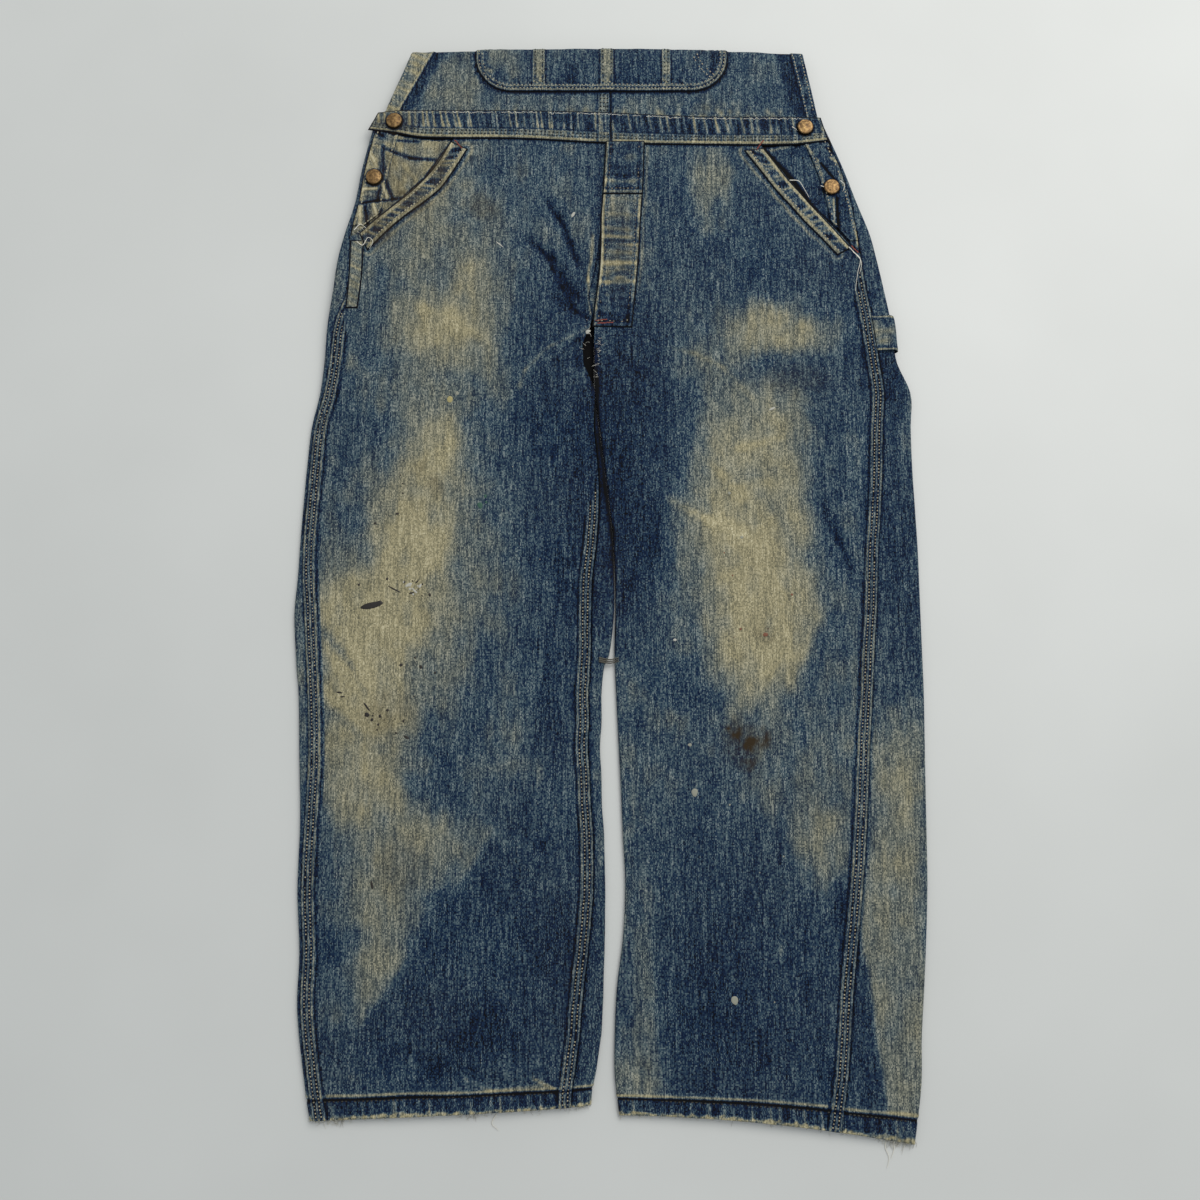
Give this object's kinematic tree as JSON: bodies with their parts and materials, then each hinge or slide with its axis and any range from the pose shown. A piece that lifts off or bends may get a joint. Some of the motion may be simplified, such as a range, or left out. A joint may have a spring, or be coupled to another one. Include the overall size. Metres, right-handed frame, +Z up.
{
  "type": "worn denim dungarees, laid flat",
  "caption": "Worn and paint-spattered denim bib overalls laid flat, front up, with the bib folded behind the waist, wide straight legs and plain metal side buttons",
  "frame": {"origin": "on the floor under the middle of the laid-out garment", "axes": "+X to the wearer's left, +Y from the hems to the folded bib, +Z up off the floor"},
  "size_m": [0.5976, 1.0638, 0.0185],
  "materials": {
    "denim": "matte",
    "button_metal": "tarnished"
  },
  "bodies": {
    "root": {"front_leg_right": "denim", "front_leg_left": "denim", "back_leg_right": "denim", "back_leg_left": "denim", "waistband": "denim", "bib_right": "denim", "bib_left": "denim", "bib_pocket": "denim", "fly_placket": "denim", "fly_tab": "denim", "fly_underlap": "denim", "pocket_facing_right": "denim", "pocket_facing_left": "denim", "pocket_welt_right": "denim", "pocket_welt_left": "denim", "side_band_right": "denim", "side_band_left": "denim", "vent_facing_right": "denim", "hammer_loop": "denim", "back_fold": "denim", "button_waist_right": "button_metal", "button_side_right": "button_metal", "button_waist_left": "button_metal", "button_side_left": "button_metal"}
  },
  "joints": []
}
